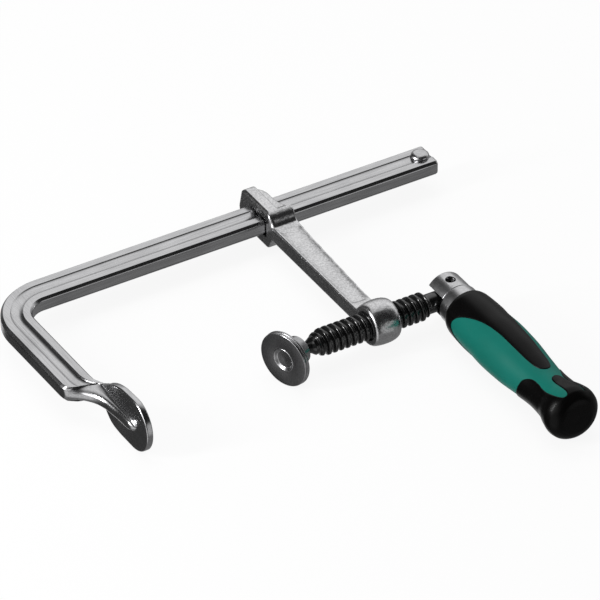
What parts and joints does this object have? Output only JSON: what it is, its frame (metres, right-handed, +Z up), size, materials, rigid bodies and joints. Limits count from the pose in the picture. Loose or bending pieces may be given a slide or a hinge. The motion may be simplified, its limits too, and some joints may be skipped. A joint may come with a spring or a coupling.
{
  "type": "f clamp",
  "caption": "Heavy-duty sliding-arm clamp: grooved steel rail bent into a fixed arm, screw with swivel plate, folding two-part handle.",
  "frame": {"origin": "centre of the fixed jaw's clamping face, where the spindle axis meets it", "axes": "+X along the spindle and the rail from the fixed jaw to the rail's free end; the arms and the folded handle lie towards -Y; +Z up, square to the flat of the clamp"},
  "size_m": [0.2855, 0.2672, 0.0324],
  "materials": {
    "plated_steel": "satin bright plating over rolled steel",
    "forged_steel": "bright plating over drop-forged steel",
    "bright_steel": "bright plating",
    "turned_steel": "turned and plated",
    "spring_steel": "dark oiled",
    "blackened_steel": "gloss black oxide",
    "teal_plastic": "hard moulded plastic",
    "soft_rubber": "matte moulded rubber"
  },
  "bodies": {
    "frame": {"rail_and_fixed_jaw": "plated_steel", "end_stop_rivet": "bright_steel"},
    "slider": {"sliding_arm": "forged_steel"},
    "seat": {"ball_seat": "spring_steel"},
    "swivel": {"swivel_socket": "turned_steel", "pressure_plate": "turned_steel"},
    "screw": {"spindle": "blackened_steel"},
    "handle": {"hinge_fork": "bright_steel", "hinge_pin": "spring_steel", "ferrule": "bright_steel", "handle_core": "teal_plastic", "grip_front": "soft_rubber", "grip_rear": "soft_rubber", "end_cap": "soft_rubber"}
  },
  "joints": [
    {"name": "arm_slide", "type": "slide", "parent": "frame", "child": "slider", "axis": [1, 0, 0], "range_m": [-0.06, 0.082]},
    {"name": "spindle_feed", "type": "slide", "parent": "slider", "child": "seat", "axis": [1, 0, 0], "range_m": [-0.02, 0.028]},
    {"name": "plate_tilt", "type": "hinge", "parent": "seat", "child": "swivel", "pos_m": [0.1059, 0, 0], "axis": [0, 0, 1], "range_deg": [-38.5, 1.5]},
    {"name": "spindle_turn", "type": "hinge", "parent": "seat", "child": "screw", "pos_m": [0.1059, 0, 0], "axis": [1, 0, 0], "range_deg": [-165, 165]},
    {"name": "handle_fold", "type": "hinge", "parent": "screw", "child": "handle", "pos_m": [0.204, 0, 0], "axis": [0, 0, 1], "range_deg": [0, 90]}
  ],
  "couplings": [
    {"joint": "spindle_feed", "follows": "spindle_turn", "m_per_rad": 0.00063662}
  ]
}
